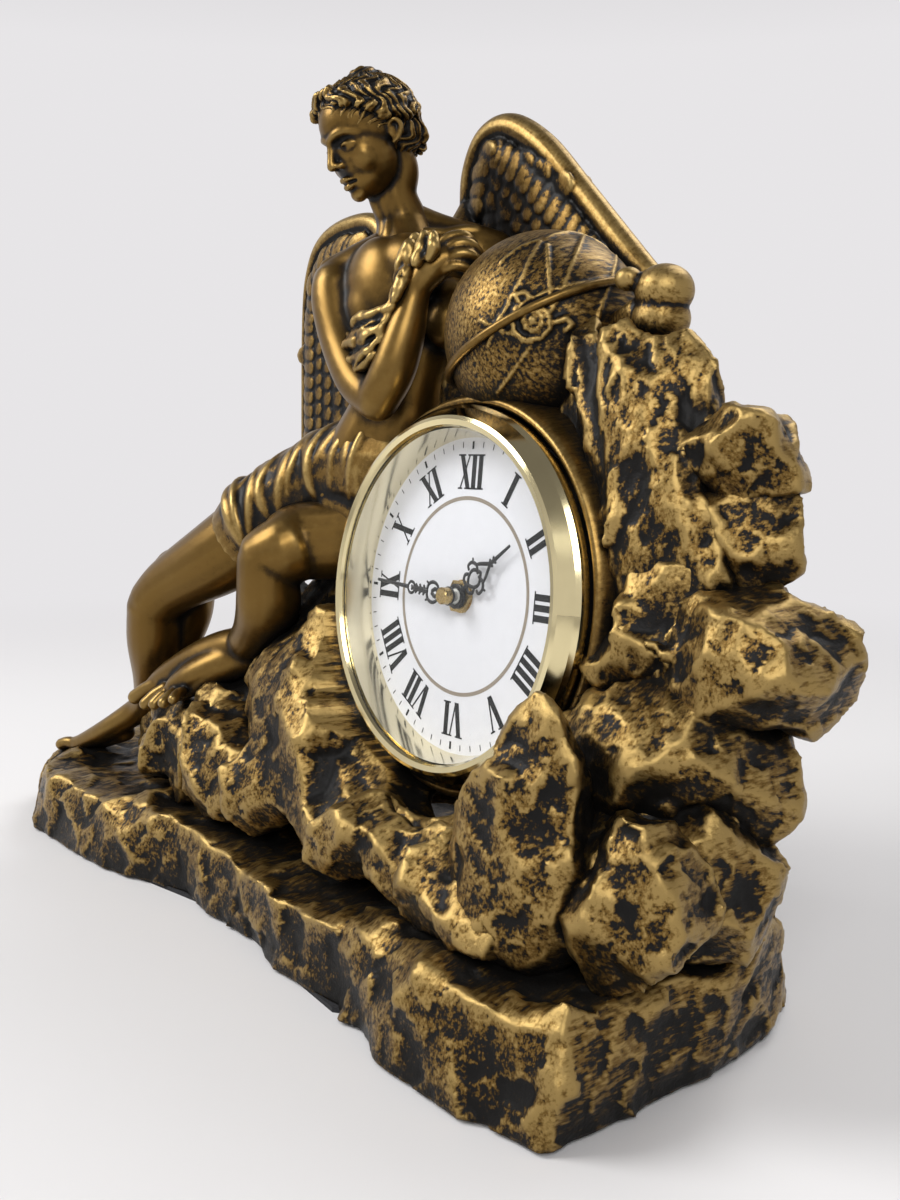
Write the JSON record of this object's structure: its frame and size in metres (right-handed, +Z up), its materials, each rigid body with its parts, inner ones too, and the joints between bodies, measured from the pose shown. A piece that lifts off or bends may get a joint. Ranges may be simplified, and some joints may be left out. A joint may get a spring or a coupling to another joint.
{
  "type": "figural mantel clock",
  "caption": "Cast figural clock: winged woman seated on a rock pile beside a globe, with a round quartz insert, turning hands, pull-out insert and battery.",
  "frame": {"origin": "on the shelf, at the middle of the plinth's length and depth, on the underside of the felt sheet", "axes": "+X along the length to the viewer's right, -Y to the front where the dial looks, +Z up"},
  "size_m": [0.3992, 0.131, 0.3052],
  "materials": {
    "battery_skin": "plain dark cell sleeve",
    "black_plastic": "moulded black",
    "board_green": "circuit board",
    "brass": "turned brass",
    "cast_cloth": "cast resin folds, gold on the ridges, black in the hollows",
    "cast_figure": "cast resin, smooth satin bronze-gold lacquer",
    "cast_globe": "cast resin, engraved lines, dark glaze with rubbed gold",
    "cast_hair": "cast resin, dark bronze with gold rub",
    "cast_rock": "cast resin, black glaze with dry-brushed antique gold",
    "cast_wing": "cast resin feathers, dark glaze with rubbed gold",
    "clear_lens": "clear mineral glass",
    "copper_coil": "enamelled copper wire",
    "dial_white": "white, printed black numerals",
    "felt": "black felt",
    "hand_black": "black, satin",
    "polished_gold": "bright polished, pale gold",
    "reflector_gold": "satin pale gold",
    "rubber_band": "soft black rubber",
    "steel": "bright steel",
    "white_plastic": "moulded natural white acetal"
  },
  "bodies": {
    "casting": {"base_plinth": "cast_rock", "dial_foot_rock": "cast_rock", "felt_sheet": "felt", "figure_head": "cast_figure", "figure_torso": "cast_figure", "foot_rock": "cast_rock", "globe": "cast_globe", "globe_ring": "cast_globe", "hair": "cast_hair", "heel_boulder": "cast_rock", "inner_boulder": "cast_rock", "lap_cloth": "cast_cloth", "ledge_rock": "cast_rock", "left_arm": "cast_figure", "left_leg": "cast_figure", "left_wing": "cast_wing", "lower_boulder": "cast_rock", "middle_boulder": "cast_rock", "overhang_boulder": "cast_rock", "pointed_rock": "cast_rock", "right_arm": "cast_figure", "right_leg": "cast_figure", "right_wing": "cast_wing", "rock_mass": "cast_rock", "scroll_knob": "cast_globe", "shoulder_cloth": "cast_cloth", "slab_rock": "cast_rock", "step_rock": "cast_rock", "stump": "cast_rock", "toe_rock": "cast_rock", "upper_boulder": "cast_rock"},
    "minute": {"minute_hand": "hand_black", "hand_nut": "brass", "centre_wheel": "steel"},
    "hour": {"hour_hand": "hand_black", "hour_wheel": "white_plastic"},
    "motion": {"motion_wheel": "white_plastic"},
    "setting": {"setting_knob": "black_plastic"},
    "third": {"third_wheel": "white_plastic"},
    "stepper_rotor": {"rotor": "steel"},
    "battery": {"battery": "battery_skin"},
    "insert": {"insert_can": "black_plastic", "grip_band": "rubber_band", "dial_plate": "dial_white", "reflector_ring": "reflector_gold", "lens": "clear_lens", "bezel_ring": "polished_gold", "movement_case": "black_plastic", "movement_cover": "black_plastic", "dial_washer": "brass", "fixing_nut": "brass", "circuit_board": "board_green", "stator": "steel", "coil": "copper_coil", "battery_contacts": "steel"}
  },
  "joints": [
    {"name": "insert_pull", "type": "slide", "parent": "casting", "child": "insert", "axis": [0, -0.9952, 0.0976], "range_m": [0, 0.05]},
    {"name": "minute_hand_turn", "type": "hinge", "parent": "insert", "child": "minute", "pos_m": [0.074, -0.005, 0.1198], "axis": [0, 0.9952, -0.0976], "continuous": true},
    {"name": "hour_hand_turn", "type": "hinge", "parent": "insert", "child": "hour", "pos_m": [0.074, -0.005, 0.1198], "axis": [0, 0.9952, -0.0976], "continuous": true},
    {"name": "motion_wheel_turn", "type": "hinge", "parent": "insert", "child": "motion", "pos_m": [0.07994, -0.00442, 0.12571], "axis": [0, 0.9952, -0.0976], "continuous": true},
    {"name": "setting_knob_turn", "type": "hinge", "parent": "insert", "child": "setting", "pos_m": [0.08662, -0.00377, 0.13236], "axis": [0, 0.9952, -0.0976], "continuous": true},
    {"name": "third_wheel_turn", "type": "hinge", "parent": "insert", "child": "third", "pos_m": [0.06531, -0.00477, 0.12212], "axis": [0, 0.9952, -0.0976], "continuous": true},
    {"name": "rotor_turn", "type": "hinge", "parent": "insert", "child": "stepper_rotor", "pos_m": [0.0538, -0.0034, 0.13608], "axis": [0, 0.9952, -0.0976], "continuous": true},
    {"name": "battery_out", "type": "slide", "parent": "insert", "child": "battery", "axis": [0, 0.9952, -0.0976], "range_m": [0, 0.03]}
  ],
  "couplings": [
    {"joint": "hour_hand_turn", "follows": "minute_hand_turn", "ratio": 0.083333},
    {"joint": "motion_wheel_turn", "follows": "minute_hand_turn", "ratio": -0.33333},
    {"joint": "setting_knob_turn", "follows": "minute_hand_turn", "ratio": 0.66667},
    {"joint": "third_wheel_turn", "follows": "minute_hand_turn", "ratio": -8}
  ]
}
